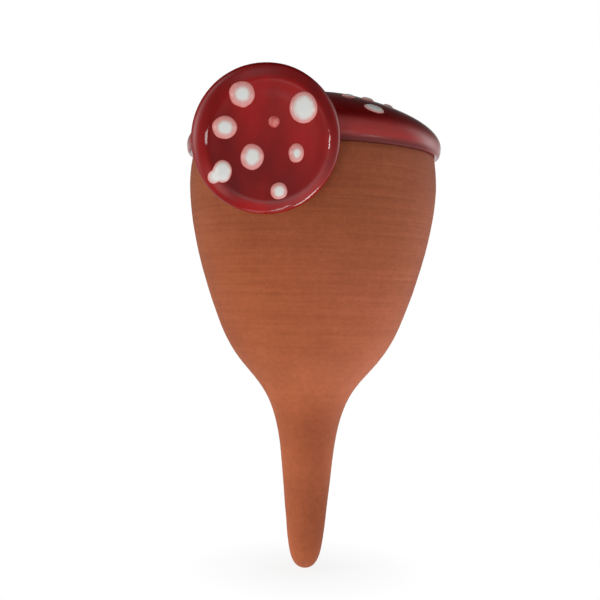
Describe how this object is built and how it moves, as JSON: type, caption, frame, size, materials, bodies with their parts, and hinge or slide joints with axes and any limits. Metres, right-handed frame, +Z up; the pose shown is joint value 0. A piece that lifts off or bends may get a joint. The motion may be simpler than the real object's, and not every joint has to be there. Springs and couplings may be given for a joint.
{
  "type": "irrigation olla",
  "caption": "Unglazed clay watering vessel tapering to a spike, with a red glazed domed cap, raised white spots and a loose round lid for its fill hole.",
  "frame": {"origin": "On the olla's axis, in the plane of the bead's flat underside, which is the soil line", "axes": "+Z up along the axis, spike down; -Y to the front, where the lid leans"},
  "size_m": [0.126, 0.1533, 0.2328],
  "materials": {
    "terracotta": "matte",
    "red_glaze": "gloss",
    "white_spots": "gloss"
  },
  "bodies": {
    "olla": {"reservoir_bowl": "terracotta", "cap_dome": "terracotta", "cap_glaze": "red_glaze", "cap_spot_01": "white_spots", "cap_spot_02": "white_spots", "cap_spot_03": "white_spots", "cap_spot_04": "white_spots", "cap_spot_05": "white_spots", "cap_spot_06": "white_spots", "cap_spot_07": "white_spots", "cap_spot_08": "white_spots", "cap_spot_09": "white_spots", "cap_spot_10": "white_spots", "cap_spot_11": "white_spots", "cap_spot_12": "white_spots", "cap_spot_13": "white_spots", "cap_spot_14": "white_spots", "cap_spot_15": "white_spots", "cap_spot_16": "white_spots", "cap_spot_17": "white_spots", "cap_spot_18": "white_spots"},
    "lid": {"lid_disc": "terracotta", "lid_glaze": "red_glaze", "lid_spot_01": "white_spots", "lid_spot_02": "white_spots", "lid_spot_03": "white_spots", "lid_spot_04": "white_spots", "lid_spot_05": "white_spots", "lid_spot_06": "white_spots", "lid_spot_07": "white_spots", "lid_spot_08": "white_spots"}
  },
  "joints": [
    {"name": "lid_lift", "type": "slide", "parent": "olla", "child": "lid", "axis": [0.0503, -0.2366, 0.9703], "range_m": [0, 0.075]}
  ]
}
